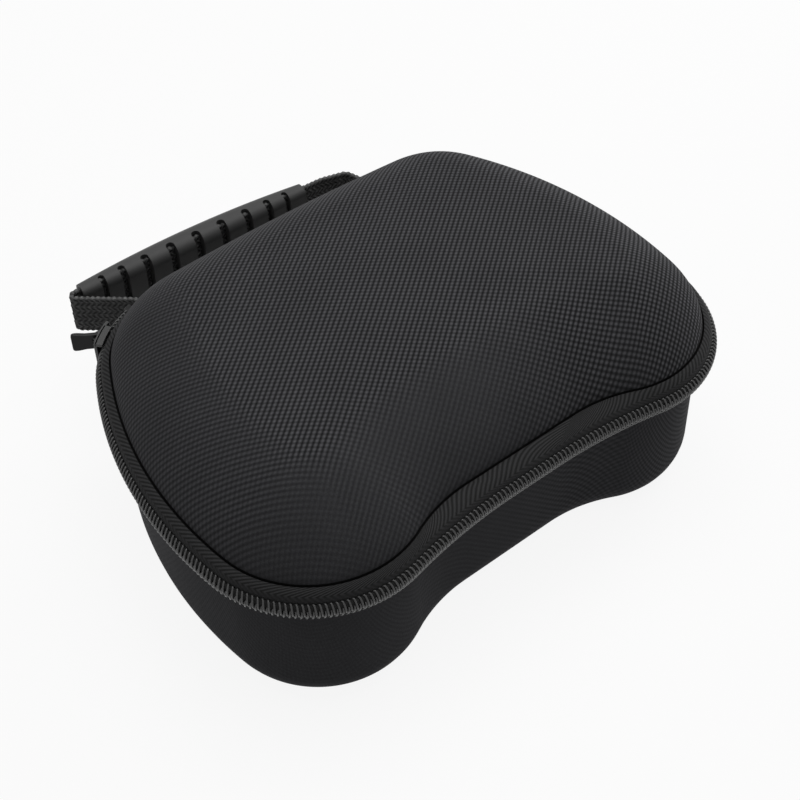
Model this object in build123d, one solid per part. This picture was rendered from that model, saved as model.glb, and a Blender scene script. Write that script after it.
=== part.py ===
from build123d import *
import math
import os

# A semi-hard zipped case for a game controller: a moulded base and lid whose outline has two lobes
# and a waist, joined by a cloth spine at the back and by a coil zip round the rest of the rim.
# X runs lobe to lobe, -Y is the waisted front, +Y the back with the handle, z = 0 is the resting face.
# Lengths are in millimetres and angles in degrees.

# Outline along the middle of the zip, mirrored about x = 0
corner_x = 41.3
corner_y = 29.0
corner_r = 37.4
lobe_x = 53.1
lobe_y = -28.9
lobe_r = 36.0
side_r = 131.0
back_r = 792.0
zip_waist_y = -60.2
zip_waist_r = 180.0

# Moulded shells, which stand inside that line
band_w = 4.4
waist_band_w = 6.8
shell_waist_r = 50.0
wall_t = 4.0
zip_z = 48.0
rim_gap = 0.3

# Base: a straight wall below the rim, then lobes that lean forward to a rounded bottom
straight_h = 8.0
lobe_lean = 1.6
base_round = 12.0
round_rings = 6

# Lid dome: a superellipse that rises from the groove, then a crown of shrinking rings
groove_h = 6.3
dome_in = 25.4
dome_h = 22.6
dome_power = 1.5
dome_rings = 7
crown_y = 6.0
crown_h = 2.0
crown_shares = [0.75, 0.45, 0.15]

# Zip tapes, bent from the groove over a soft shoulder to the chain
tape_t = 0.8
tape_in = 1.1
lid_band_h = 6.1
base_band_h = 4.7
lid_band_round = 3.3
base_band_round = 1.5
seam_gap = 0.3
flange_play = 0.1
lid_flange_t = 2.2
base_flange_t = 0.8
base_flange_round = 0.56

# Coil zip: one block for each turn of the coil, interleaved across the rim
tooth_pitch = 1.5
tooth_w = 0.62
tooth_d = 1.9
tooth_reach = 2.95
tooth_mesh = 0.5
chain_end = 109.0
spread_at = 120.0
spread_turn = 4.0
spread_h = 1.3
notch_h = 1.0
notch_play = 0.2
notch_before = 2.0
notch_after = 1.0
stop_turn = 2.2
stop_w = 2.0
stop_h = 2.4
stop_t = 2.2
stop_round = 0.4

# Slider and its pull tab, curved to the left back corner
slider_at = 124.0
slider_l = 13.0
slider_half = 4.6
slider_round = 1.6
plate_t = 1.0
chain_play = 0.25
inner_half = 2.6
curl_in = 3.3
curl_play = 0.35
wedge_w = 1.4
wedge_l = 2.4
arch_l = 7.2
arch_w = 1.8
arch_rise = 3.0
arch_t = 1.1
arch_round = 1.4
arch_sunk = 0.4
tab_l = 8.7
tab_w = 6.6
tab_neck_w = 5.8
tab_shoulder = 1.8
tab_round = 1.2
tab_t = 1.2
tab_bar = 1.1
tab_eye_l = 3.4
tab_eye_w = 4.2
tab_drop = 1.0
tab_lean = 24.0

# Cloth strips at the hinge and round the inside of the rim
strip_t = 0.7
strip_play = 0.1
spine_half = 46.0
spine_up = 3.2
spine_down = 3.0
lining_half = 36.0
lining_up = 5.0
lining_down = 7.5
binding_t = 0.6
binding_h = 3.0
binding_low = 0.4

# Handle: webbing riveted to the back wall, with a moulded grip on it. The webbing's bends are
# counted inward from the grip's left end and outward from its right end.
web_w = 16.0
web_t = 1.6
web_z = 34.1
web_lift = 0.1
web_end = 17.0
web_left_foot = 16.25
web_left_side = (11.75, 76.0)
web_left_lead = 6.8
web_right_lead = 8.0
web_right_shoulder = (16.85, 85.0)
web_right_side = (19.15, 78.0)
web_right_low = (16.55, 67.5)
web_right_foot = 7.05
web_bends = [4.0, 9.0, 1.6, 12.0, 3.0, 6.0, 5.0, 5.0]
grip_l = 84.5
grip_x = -12.8
grip_y = 89.6
grip_turn = -2.5
grip_out = 5.4
grip_in = 3.8
grip_end = 2.8
grip_h = 19.4
grip_end_h = 17.6
grip_play = 0.2
grip_round = 0.85
grip_sections = 5
slot_at = [0.0, 9.6, 19.1, 27.6, 34.8]
slot_w = [3.0, 2.9, 2.7, 2.3, 1.9]
slot_reach = 0.6
rivet_x = 26.5
rivet_r = 1.6
rivet_play = 0.1
rivet_head_r = 4.2
rivet_head_t = 1.2
rivet_round = 0.9
rivet_tail_r = 2.8
washer_r = 5.0
washer_t = 0.8
seat_gap = 0.05

# Net pocket in the lid
pocket_h = 4.4
net_t = 0.8
pocket_in = 1.2
pocket_mouth_y = 20.0
net_pitch = 12.0
net_hole = 9.6
net_edge = 4.0
hem_w = 7.0
hem_t = 1.4
pocket_band_low = 3.6
pocket_band_h = 2.6

CORNER = (-corner_x, corner_y)


# Outline arithmetic
def heading(x, y):
    return math.degrees(math.atan2(y, x))


def spot(centre, radius, angle):
    turn = math.radians(angle)
    return (centre[0] + radius * math.cos(turn), centre[1] + radius * math.sin(turn))


def side_centre(lean):
    """Centre of the right side's arc, which touches the corner and lobe circles from outside."""
    to_corner, to_lobe = side_r - corner_r, side_r - lobe_r
    dx, dy = lobe_x - corner_x, lobe_y - lean - corner_y
    apart = math.hypot(dx, dy)
    along = (to_corner**2 - to_lobe**2 + apart**2) / (2 * apart)
    across = math.sqrt(to_corner**2 - along**2)
    x = corner_x + (along * dx + across * dy) / apart
    y = corner_y + (along * dy - across * dx) / apart
    return (x, y)


def back_centre():
    return (0.0, corner_y - math.sqrt((back_r - corner_r) ** 2 - corner_x**2))


def back_y(inset, x=0.0):
    return back_centre()[1] + math.sqrt((back_r - inset) ** 2 - x**2)


def outline(inset, waist_y, waist_r, lean=0.0):
    """Arcs of a closed outline, counterclockwise from the waist: centre, radius, start, end."""
    side, back = side_centre(lean), back_centre()
    front_y = lobe_y - lean
    reach = waist_r + lobe_r - inset
    rise = front_y - waist_y + waist_r
    hollow = (lobe_x - math.sqrt(reach**2 - rise**2), waist_y - waist_r)
    to_lobe = heading(lobe_x - hollow[0], front_y - hollow[1])
    low = heading(lobe_x - side[0], front_y - side[1])
    high = heading(corner_x - side[0], corner_y - side[1])
    top = heading(corner_x, corner_y - back[1])
    right = [
        (hollow, waist_r, 90.0, to_lobe),
        ((lobe_x, front_y), lobe_r - inset, to_lobe - 180.0, low),
        (side, side_r - inset, low, high),
        ((corner_x, corner_y), corner_r - inset, high, top),
    ]
    left = [((-c[0], c[1]), r, 180.0 - end, 180.0 - start) for c, r, start, end in right[::-1]]
    return right + [(back, back_r - inset, top, 180.0 - top)] + left


def zip_ring(inset):
    return outline(inset, zip_waist_y + inset, zip_waist_r + inset)


def shell_ring(inset, lean=0.0):
    waist_y = zip_waist_y + waist_band_w + inset
    return outline(band_w + inset, waist_y, shell_waist_r + inset, lean)


def ring_wire(arcs):
    edges = [CenterArc(c, r, start, end - start) for c, r, start, end in arcs]
    first, last = arcs[0], arcs[-1]
    edges.append(Line(spot(last[0], last[1], last[3]), spot(first[0], first[1], first[2])))
    return Wire([edge.edge() for edge in edges])


# Solids from outlines
def upward(face):
    return face if face.normal_at().Z > 0 else -face


def prism(arcs, low, high):
    return Solid.extrude(Pos(0, 0, low) * Face(ring_wire(arcs)), Vector(0, 0, high - low))


def rounded_top(solid, radius):
    return solid.fillet(radius, solid.faces().sort_by(Axis.Z)[-1].edges())


def rounded_bottom(solid, radius):
    return solid.fillet(radius, solid.faces().sort_by(Axis.Z)[0].edges())


def block(x0, x1, y0, y1, z0, z1):
    return Pos((x0 + x1) / 2, (y0 + y1) / 2, (z0 + z1) / 2) * Box(x1 - x0, y1 - y0, z1 - z0)


def arc_block(inner, outer, start, end, low, high):
    """A block bent round the left back corner, between two radii and two angles."""
    edges = [
        CenterArc(CORNER, outer, start, end - start),
        Line(spot(CORNER, outer, end), spot(CORNER, inner, end)),
        CenterArc(CORNER, inner, start, end - start),
        Line(spot(CORNER, inner, start), spot(CORNER, outer, start)),
    ]
    face = Face(Wire([edge.edge() for edge in edges]))
    height = Vector(0, 0, high - low)
    return Solid.extrude(Pos(0, 0, low) * upward(face), height)


# Shells
def dome_profile():
    """Inset and height of the lid's skin above the groove, from the wall to the crown."""
    power = 2.0 / dome_power
    points = []
    for step in range(dome_rings + 1):
        turn = math.pi / 2 * step / dome_rings
        across, up = max(math.cos(turn), 0.0) ** power, math.sin(turn) ** power
        points.append((dome_in * (1 - across), groove_h + dome_h * up))
    return points


def inner_profile(points):
    """The same profile moved inward by the wall, square to the skin."""
    moved = [(points[0][0] + wall_t, points[0][1])]
    for before, here, after in zip(points, points[1:], points[2:]):
        run, climb = after[0] - before[0], after[1] - before[1]
        length = math.hypot(run, climb)
        moved.append((here[0] + wall_t * climb / length, here[1] - wall_t * run / length))
    moved.append((points[-1][0], points[-1][1] - wall_t))
    return moved


def shrunk(arcs, share):
    """The outline made smaller about the middle of the lid."""
    return [
        ((c[0] * share, crown_y + (c[1] - crown_y) * share), r * share, start, end)
        for c, r, start, end in arcs
    ]


def dome(points):
    wires = [Pos(0, 0, zip_z + height) * ring_wire(shell_ring(inset)) for inset, height in points]
    inset, height = points[-1]
    crown = wires[-1:]
    for share in crown_shares:
        top = zip_z + height + crown_h * (1 - share**2)
        crown.append(Pos(0, 0, top) * ring_wire(shrunk(shell_ring(inset), share)))
    return Solid.make_loft(wires, False) + Solid.make_loft(crown, False)


def flange(low, high):
    outer = zip_ring(tape_in + tape_t + seam_gap)
    return prism(outer, low, high), prism(shell_ring(wall_t / 2), low - 1, high + 1)


def rivet_holes():
    wall = back_y(band_w)
    radius = rivet_r + rivet_play
    return [across_y(side * rivet_x, wall - 3 * wall_t, wall + 3 * web_t, radius) for side in (-1, 1)]


def hull(inset, high):
    """The base's form at an inset: straight at the rim, leaning below, rounded to a flat bottom."""
    straight = zip_z - straight_h
    radius = base_round - inset

    def ring(z, side):
        lean = lobe_lean * (straight - z) / straight
        return Pos(0, 0, z) * ring_wire(shell_ring(side, lean))

    bottom = []
    for step in range(round_rings + 1):
        turn = math.pi / 2 * step / round_rings
        side, z = radius * (1 - math.cos(turn)), radius * (1 - math.sin(turn))
        bottom.append(ring(inset + z, inset + side))
    walls = Solid.make_loft([ring(base_round, inset), ring(straight, inset)], True)
    return Solid.make_loft(bottom[::-1], False) + walls + prism(shell_ring(inset), straight, high)


def base_shell():
    rim = zip_z - rim_gap
    skin = hull(0, rim)
    cavity = hull(wall_t, rim + 1)
    top = zip_z - base_band_h + tape_t + flange_play + base_flange_t
    lip, middle = flange(top - base_flange_t, top)
    body = skin - cavity + (rounded_bottom(lip, base_flange_round) - middle)
    return body - rivet_holes()


def lid_shell():
    rim = zip_z + rim_gap
    points = dome_profile()
    skin = prism(shell_ring(0), rim, zip_z + groove_h) + dome(points)
    cavity = prism(shell_ring(wall_t), rim - 1, zip_z + groove_h) + dome(inner_profile(points))
    top = zip_z + lid_band_h - tape_t - flange_play
    lip, middle = flange(top - lid_flange_t, top)
    lip = rounded_top(lip, lid_band_round - tape_t - 2 * seam_gap)
    return skin - cavity + (lip - middle)


# Zip tapes and cloth strips
def end_notch():
    """Room for the slider's wedge between the two tapes at the closed end of the zip."""
    outer = corner_r - tape_in + notch_play
    inner = outer - tape_t - 2 * notch_play
    start, end = chain_end - notch_before, spread_at + notch_after
    return arc_block(inner, outer, start, end, zip_z - notch_h, zip_z + notch_h)


def lid_zip_tape():
    low, high = zip_z + rim_gap, zip_z + lid_band_h
    skin = rounded_top(prism(zip_ring(tape_in), low, high), lid_band_round)
    under = prism(zip_ring(tape_in + tape_t), low - 1, high - tape_t)
    under = rounded_top(under, lid_band_round - tape_t)
    return skin - under - prism(shell_ring(-seam_gap), low - 1, high + 1) - end_notch()


def base_zip_tape():
    low, high = zip_z - base_band_h, zip_z - rim_gap
    skin = rounded_bottom(prism(zip_ring(tape_in), low, high), base_band_round)
    over = prism(zip_ring(tape_in + tape_t), low + tape_t, high + 1)
    over = rounded_bottom(over, base_band_round - tape_t)
    return skin - over - prism(shell_ring(-seam_gap), low - 1, high + 1) - end_notch()


def spine_strip():
    low, high = zip_z - spine_down, zip_z + spine_up
    inner = tape_in - strip_play
    strip = prism(zip_ring(inner - strip_t), low, high) - prism(zip_ring(inner), low - 1, high + 1)
    return strip & block(-spine_half, spine_half, 0, 2 * corner_r + corner_y, low, high)


def spine_lining():
    low, high = zip_z - lining_down, zip_z + lining_up
    outer = wall_t + 2 * strip_play + binding_t
    strip = prism(shell_ring(outer), low, high) - prism(shell_ring(outer + strip_t), low - 1, high + 1)
    return strip & block(-lining_half, lining_half, 0, 2 * corner_r + corner_y, low, high)


def rim_binding(low, high):
    outer = wall_t + strip_play
    return prism(shell_ring(outer), low, high) - prism(
        shell_ring(outer + binding_t), low - 1, high + 1
    )


# Coil zip
def chain_path():
    """The zip line from its closed end at the left back corner round to the right back corner."""
    arcs = zip_ring(0)
    back = len(arcs) // 2
    left, right = arcs[back + 1 :], arcs[:back]
    corner = left[0]
    left[0] = (corner[0], corner[1], chain_end, corner[3])
    corner = right[-1]
    right[-1] = (corner[0], corner[1], corner[2], 180.0 - chain_end)
    return left, right


def path_points(step, offset):
    """Points along the zip line: x, y and the outward direction."""
    left, right = chain_path()
    flat = (spot(*left[-1][:2], left[-1][3]), spot(*right[0][:2], right[0][2]))
    found, along = [], offset
    for arc in left + [None] + right:
        if arc is None:
            length = flat[1][0] - flat[0][0]
            while along < length:
                found.append((flat[0][0] + along, flat[0][1], -90.0))
                along += step
        else:
            centre, radius, start, end = arc
            length = radius * math.radians(abs(end - start))
            hollow = end < start
            while along < length:
                angle = start + math.copysign(math.degrees(along / radius), end - start)
                found.append((*spot(centre, radius, angle), angle + (180.0 if hollow else 0.0)))
                along += step
        along -= length
    return found


def spread(x, y):
    """How far a turn of the coil stands off the middle where the slider parts the chain."""
    if x > -corner_x or y < corner_y:
        return 0.0
    angle = heading(x - CORNER[0], y - CORNER[1])
    return spread_h * min(max((spread_at + spread_turn - angle) / spread_turn, 0.0), 1.0)


def coil(upper):
    side = 1 if upper else -1
    height = tooth_reach + tooth_mesh
    middle = side * (tooth_reach - tooth_mesh) / 2
    turns = []
    for x, y, out in path_points(tooth_pitch, tooth_pitch * (0.75 if upper else 0.25)):
        z = zip_z + middle + side * spread(x, y)
        turns.append(Pos(x, y, z) * Rot(0, 0, out) * Box(tooth_d, tooth_w, height))
    return Compound(children=turns)


def end_stop(upper):
    """A small clamp on one tape, just past the last turn of the coil."""
    side = 1 if upper else -1
    place = spot(CORNER, corner_r, chain_end - stop_turn)
    z = zip_z + side * (stop_h / 2 + spread_h)
    body = Box(stop_t, stop_w, stop_h)
    body = fillet(body.edges().filter_by(Axis.Y), stop_round)
    return Pos(place[0], place[1], z) * Rot(0, 0, chain_end - stop_turn) * body


def bottom_stop():
    """The wide clamp that holds both coils together at the far end of the zip."""
    angle = 180.0 - chain_end + stop_turn
    place = spot((corner_x, corner_y), corner_r, angle)
    body = Box(stop_t, stop_w, 2 * tooth_reach)
    body = fillet(body.edges().filter_by(Axis.Y), stop_round)
    return Pos(place[0], place[1], zip_z) * Rot(0, 0, angle) * body


# Slider and pull tab
def slider_half_turn():
    return math.degrees(slider_l / 2 / corner_r)


def plate_r():
    return corner_r + tooth_d / 2 + chain_play + plate_t


def zip_slider():
    half = slider_half_turn()
    start, end = slider_at - half, slider_at + half
    outer = plate_r()
    inner = corner_r - tape_in - tape_t - seam_gap
    low, high = zip_z - slider_half, zip_z + slider_half
    plate = arc_block(outer - plate_t, outer, start, end, low, high)
    back = arc_block(inner - plate_t, inner, start, end, zip_z - inner_half, zip_z + inner_half)
    wedge_end = start + math.degrees(wedge_l / corner_r)
    wedge = arc_block(inner - plate_t / 2, outer - plate_t / 2, start, wedge_end,
                      zip_z - wedge_w / 2, zip_z + wedge_w / 2)
    foot = corner_r - tape_in + curl_play
    curls = [
        arc_block(foot, outer - plate_t / 2, slider_at, end, zip_z + curl_in, high),
        arc_block(foot, outer - plate_t / 2, slider_at, end, low, zip_z - curl_in),
    ]
    plate = fillet([edge for edge in plate.edges() if is_radial(edge)], slider_round)
    return plate + back + wedge + curls + arch()


def is_radial(edge):
    """True for the straight edges of a bent block that run through its thickness."""
    return edge.geom_type == GeomType.LINE and abs(edge.tangent_at(0).Z) < 0.5


def at_arch(lean=0.0):
    """The arch's own frame: X outward from the plate, Y along the zip, at the tab's bar."""
    place = spot(CORNER, plate_r() + (arch_rise - arch_t) / 2, slider_at)
    return Pos(place[0], place[1], zip_z) * Rot(0, 0, slider_at + lean)


def arch():
    bar = (arch_rise - arch_t) / 2
    body = block(-bar - arch_sunk, bar + arch_t, -arch_l / 2, arch_l / 2, -arch_w / 2, arch_w / 2)
    body = fillet(body.edges().filter_by(Axis.Z).sort_by(Axis.X)[-2:], arch_round)
    window = arch_l / 2 - arch_t
    body = body - block(-bar - 2 * arch_sunk, bar, -window, window, -arch_w, arch_w)
    return at_arch() * body


def pull_tab():
    """A flat tab that hangs on the slider's arch by its bar, as low as its eye lets it."""
    half_bar = tab_bar / 2
    neck = tab_eye_l + tab_bar
    outline_points = [
        (-half_bar, -tab_neck_w / 2),
        (neck, -tab_neck_w / 2),
        (tab_l - tab_shoulder, -tab_w / 2),
        (tab_l, -tab_w / 2),
        (tab_l, tab_w / 2),
        (tab_l - tab_shoulder, tab_w / 2),
        (neck, tab_neck_w / 2),
        (-half_bar, tab_neck_w / 2),
    ]
    face = Face(Polyline(*outline_points, close=True).wire())
    plate = Solid.extrude(Pos(0, 0, -tab_t / 2) * face, Vector(0, 0, tab_t))
    ends = plate.edges().filter_by(Axis.Z).sort_by(Axis.X)
    plate = fillet(ends[:2] + ends[-2:], tab_round)
    eye = block(half_bar, half_bar + tab_eye_l, -tab_eye_w / 2, tab_eye_w / 2, -tab_t, tab_t)
    return at_arch(tab_lean) * Pos(0, 0, -tab_drop) * Rot(90, 0, 0) * (plate - eye)


# Handle
def across_y(x, start, end, radius):
    """A cylinder along Y at the height of the webbing."""
    return Pos(x, (start + end) / 2, web_z) * Rot(90, 0, 0) * Cylinder(radius, end - start)


def grip_frame():
    return Pos(grip_x, grip_y, web_z) * Rot(0, 0, grip_turn)


def grip_point(along):
    turn = math.radians(grip_turn)
    return (grip_x + along * math.cos(turn), grip_y + along * math.sin(turn))


def web_route():
    """Middle line of the webbing from the left rivet round through the grip to the right rivet."""
    root = back_y(band_w) + web_lift + web_t / 2
    left, right = grip_x - grip_l / 2, grip_x + grip_l / 2
    return [
        (-web_end, root),
        (left + web_left_foot, root),
        (left + web_left_side[0], web_left_side[1]),
        grip_point(-grip_l / 2 - web_left_lead),
        grip_point(grip_l / 2 + web_right_lead),
        (right + web_right_shoulder[0], web_right_shoulder[1]),
        (right + web_right_side[0], web_right_side[1]),
        (right + web_right_low[0], web_right_low[1]),
        (right + web_right_foot, root),
        (web_end, root),
    ]


def handle_webbing():
    line = FilletPolyline(*web_route(), radius=web_bends)
    strap = trace(line, web_t).face()
    strap = Solid.extrude(Pos(0, 0, web_z - web_w / 2) * upward(strap), Vector(0, 0, web_w))
    return strap - rivet_holes()


def grip_section(along):
    """Half thickness outward and inward, and height, of the grip at a place along it."""
    share = 1 - (2 * along / grip_l) ** 2
    out = grip_end + (grip_out - grip_end) * share
    back = grip_end + (grip_in - grip_end) * share
    return out, back, grip_end_h + (grip_h - grip_end_h) * share


def handle_grip():
    """A soft moulding round the webbing, with slots that open its inner side from top to bottom."""
    sections = []
    for step in range(grip_sections):
        along = grip_l * (step / (grip_sections - 1) - 0.5)
        out, back, height = grip_section(along)
        width = out + back
        plane = Plane(origin=(along, (out - back) / 2, 0), x_dir=(0, 1, 0), z_dir=(1, 0, 0))
        sections.append(plane * RectangleRounded(width, height, grip_round * width / 2))
    body = loft(sections)
    channel = Box(grip_l + 2, web_t + 2 * grip_play, web_w + 2 * grip_play)
    body = body - channel
    length = slot_reach + 2 * grip_in
    for place, width in zip(slot_at, slot_w):
        cut = extrude(Rot(0, 0, 90) * SlotOverall(length, width), grip_h, both=True)
        for side in (-1, 1) if place else (1,):
            body = body - Pos(side * place, slot_reach - length / 2, 0) * cut
    return grip_frame() * body


def washer_face():
    """Where the washers meet the curved inner side of the back wall."""
    return back_y(band_w + wall_t, rivet_x + washer_r) - seat_gap


def handle_rivets():
    face = back_y(band_w) + web_lift + web_t + seat_gap
    inside = washer_face() - washer_t - seat_gap
    rivets = []
    for side in (-1, 1):
        x = side * rivet_x
        head = across_y(x, face, face + rivet_head_t, rivet_head_r)
        head = fillet(head.edges().filter_by(GeomType.CIRCLE).sort_by(Axis.Y)[-1], rivet_round)
        shank = across_y(x, inside - rivet_head_t / 2, face + rivet_head_t / 2, rivet_r)
        tail = across_y(x, inside - rivet_head_t, inside, rivet_tail_r)
        tail = fillet(tail.edges().filter_by(GeomType.CIRCLE).sort_by(Axis.Y)[0], rivet_round)
        rivets.append(head + shank + tail)
    return Compound(children=rivets)


def rivet_washers():
    face = washer_face()
    washers = []
    for side in (-1, 1):
        x = side * rivet_x
        disc = across_y(x, face - washer_t, face, washer_r)
        hole = across_y(x, face - 2 * washer_t, face + washer_t, rivet_r + rivet_play)
        washers.append(disc - hole)
    return Compound(children=washers)


# Net pocket in the lid
def pocket_region(inset, low, high, front, back):
    body = prism(shell_ring(wall_t + inset), low, high)
    return body & block(-2 * lobe_x, 2 * lobe_x, front, back, low - 1, high + 1)


def mesh_pocket():
    low = zip_z + pocket_h
    net = pocket_region(pocket_in, low, low + net_t, 2 * zip_waist_y, pocket_mouth_y)
    room = Face(ring_wire(shell_ring(wall_t + pocket_in + net_edge)))
    holes = []
    rows = int((pocket_mouth_y - 2 * zip_waist_y) / net_pitch)
    columns = int(2 * (lobe_x + lobe_r) / net_pitch / 2)
    for row in range(rows):
        y = pocket_mouth_y - net_edge - net_hole / 2 - row * net_pitch
        for column in range(-columns, columns + 1):
            x = column * net_pitch
            ends = [(x + i * net_hole / 2, y + j * net_hole / 2, 0) for i in (-1, 1) for j in (-1, 1)]
            if all(room.is_inside(end) for end in ends):
                holes.append(Pos(x, y, low) * Box(net_hole, net_hole, 4 * net_t))
    return net - holes


def pocket_hem():
    middle = zip_z + pocket_h + net_t / 2
    low, high = middle - hem_t / 2, middle + hem_t / 2
    return pocket_region(pocket_in, low, high, pocket_mouth_y, pocket_mouth_y + hem_w)


def pocket_band():
    low, back = zip_z + pocket_band_low, pocket_mouth_y + hem_w
    high = low + pocket_band_h
    outer = pocket_region(strip_play, low, high, 2 * zip_waist_y, back)
    return outer - prism(shell_ring(wall_t + pocket_in - seat_gap), low - 1, high + 1)


def main():
    parts = {
        "base_shell": base_shell(),
        "lid_shell": lid_shell(),
        "base_zip_tape": base_zip_tape(),
        "lid_zip_tape": lid_zip_tape(),
        "base_zip_coil": coil(False),
        "lid_zip_coil": coil(True),
        "base_end_stop": end_stop(False),
        "lid_end_stop": end_stop(True),
        "zip_bottom_stop": bottom_stop(),
        "zip_slider": zip_slider(),
        "pull_tab": pull_tab(),
        "spine_strip": spine_strip(),
        "spine_lining": spine_lining(),
        "base_rim_binding": rim_binding(zip_z - binding_low - binding_h, zip_z - binding_low),
        "lid_rim_binding": rim_binding(zip_z + binding_low, zip_z + binding_low + binding_h),
        "handle_webbing": handle_webbing(),
        "handle_grip": handle_grip(),
        "handle_rivets": handle_rivets(),
        "rivet_washers": rivet_washers(),
        "mesh_pocket": mesh_pocket(),
        "pocket_hem": pocket_hem(),
        "pocket_band": pocket_band(),
    }
    os.makedirs("parts", exist_ok=True)
    for name, part in parts.items():
        export_step(part, os.path.join("parts", f"{name}.step"))


main()
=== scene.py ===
import math

import bpy
from mathutils import Matrix, Vector


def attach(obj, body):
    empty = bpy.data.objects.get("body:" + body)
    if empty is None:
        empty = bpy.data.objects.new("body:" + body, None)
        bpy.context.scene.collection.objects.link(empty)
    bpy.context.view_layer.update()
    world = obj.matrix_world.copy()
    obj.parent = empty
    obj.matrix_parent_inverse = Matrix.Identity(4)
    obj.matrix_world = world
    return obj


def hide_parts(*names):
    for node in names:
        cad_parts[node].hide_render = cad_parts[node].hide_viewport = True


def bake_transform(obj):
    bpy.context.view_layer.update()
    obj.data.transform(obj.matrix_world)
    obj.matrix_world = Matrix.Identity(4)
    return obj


# A moulded zip case in black fabric. Lengths are in millimetres unless a name says otherwise,
# and are turned into metres where a mesh, light or camera is made.
MM = 0.001

# Outline along the middle of the zip and of the moulded shells inside it
CORNER = (41.3, 29.0)
CORNER_R = 37.4
LOBE = (53.1, -28.9)
LOBE_R = 36.0
SIDE_R = 131.0
BACK_R = 792.0
ZIP_WAIST_Y = -60.2
ZIP_WAIST_R = 180.0
BAND_W = 4.4
WAIST_BAND_W = 6.8
SHELL_WAIST_R = 50.0
WALL_T = 4.0
ZIP_Z = 48.0
RIM_GAP = 0.3
RING_STEP = 1.1

# Lid dome and base
GROOVE_H = 6.3
DOME_IN = 25.4
DOME_H = 22.6
DOME_POWER = 1.5
CROWN_Y = 6.0
CROWN_H = 2.0
STRAIGHT_H = 8.0
LOBE_LEAN = 1.6
BASE_ROUND = 12.0
BASE_STEPS = 8
ROUND_STEPS = (12, 8)
DOME_STEPS = 28
CROWN_SHARES = (0.08, 0.3, 0.5, 0.7, 0.86)
UNDER_SHARES = (0.86, 0.5, 0.08)

# Zip
TAPE_T = 0.8
TAPE_IN = 1.1
LID_BAND_H = 6.1
LID_BAND_ROUND = 3.3
BASE_BAND_H = 4.7
BASE_BAND_ROUND = 1.5
TUCK = 0.9
GROOVE_W = 0.65
BASE_GROOVE_W = 0.05
TAPE_GAP = 0.1
FLANGE_EDGE = TAPE_IN + TAPE_T + RIM_GAP
LID_FLANGE = (1.2, 1.4, 2.2)
BASE_FLANGE = (0.5, 0.4, 0.8)
TAPE_RIDGE = 4.6
TAPE_THREAD = 1.3
TAPE_SLANT = 0.7
TOOTH_PITCH = 1.5
TOOTH_D = 1.9
TOOTH_REACH = 2.95
HEAD_REACH = 0.95
FILAMENT_R = 0.34
COIL_BOW = 1.0
COIL_STEPS = 16
COIL_SIDES = 7
CORE_STEP = 2.0
CORE_CORNERS = ((-0.45, 0.9), (0.35, 0.9), (0.35, 2.3), (-0.45, 2.3))
CHAIN_END = 109.0
SPREAD_AT = 121.6
SPREAD_TURN = 4.0
SPREAD_H = 1.3

# Fabric weave on the shells: yarn spacing, and how much of the slope's length the cloth follows
YARN_X = 1.13
YARN_Y = 0.885
LID_TONE = 0.038
BASE_TONE = 0.034
LID_DRAPE = 0.5
BASE_DRAPE = 0.8

# Contrast of the weave's columns and rows, and what each slope takes from columns and adds to rows;
# these are painted light and sheen, set by which way each slope faces
COLUMNS = 0.68
ROWS = 0.35
LEFT_SLOPE_PAINTED_LIGHT = (0.5, 0.05)
RIGHT_SLOPE_PAINTED_LIGHT = (-0.08, 0.3)
NEAR_SLOPE_PAINTED_LIGHT = (0.45, -0.28)
FRONT_RIGHT_PAINTED_LIGHT = 0.35

# Handle webbing: its route through the grip from rivet to rivet, its bends, and its ribs
GRIP_AT = (-12.8, 89.6)
GRIP_TURN = -2.5
GRIP_HALF = 42.25
WEB_END = 17.0
WEB_T = 1.6
WEB_W = 13.8
WEB_Z = 35.2
WEB_LIFT = 0.1
WEB_LEFT_FOOT = 16.25
WEB_LEFT_SIDE = (11.75, 76.0)
WEB_LEADS = (6.8, 8.0)
WEB_RIGHT_SHOULDER = (16.85, 85.0)
WEB_RIGHT_SIDE = (19.15, 78.0)
WEB_RIGHT_LOW = (16.55, 67.5)
WEB_RIGHT_FOOT = 7.05
WEB_BENDS = (4.0, 9.0, 1.6, 12.0, 3.0, 6.0, 5.0, 5.0)
WEB_RIBS = 8
WEB_RIB = WEB_W / WEB_RIBS
WEB_RIB_H = 0.28
WEB_RIB_STEPS = 5
WEB_STITCH = 1.7
WEB_EDGE = 0.22
WEB_STEP = 0.5

# Slider: radii and angles about the left back corner, heights from the zip's middle
SLIDER_AT = 124.0
SLIDER_TURN = (119.6, 134.4)
CURL_TURN = 122.2
WEDGE_TURN = 122.2
PLATE_R = (38.6, 39.6)
BACK_PLATE_R = (34.2, 35.2)
PLATE_HALF = 4.5
BACK_HALF = 2.6
CURL_R = 36.8
CURL_Z = 3.35
WEDGE_HALF = 0.7
ARCH_HALF = 1.75
ARCH_TOP = 42.15
ARCH_W = 1.8
ARCH_T = 1.0
ARCH_BENDS = (1.3, 1.3)
SLIDER_ROUND = 0.45
STOP_ROUND = 0.25

# Pull tab: its place on the slider's arch, and its outline
TAB_LEAN = 24.0
TAB_DROP = 1.0
TAB_BAR_R = 40.55
TAB_L = 8.7
TAB_W = 6.6
TAB_NECK_W = 5.8
TAB_NECK = 4.5
TAB_SHOULDER = 1.8
TAB_T = 1.2
TAB_BAR = 1.1
TAB_EYE = (1.75, 2.1)
TAB_ROUND = 0.9
EYE_ROUND = 0.4
TAB_EDGE = 0.25

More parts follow.
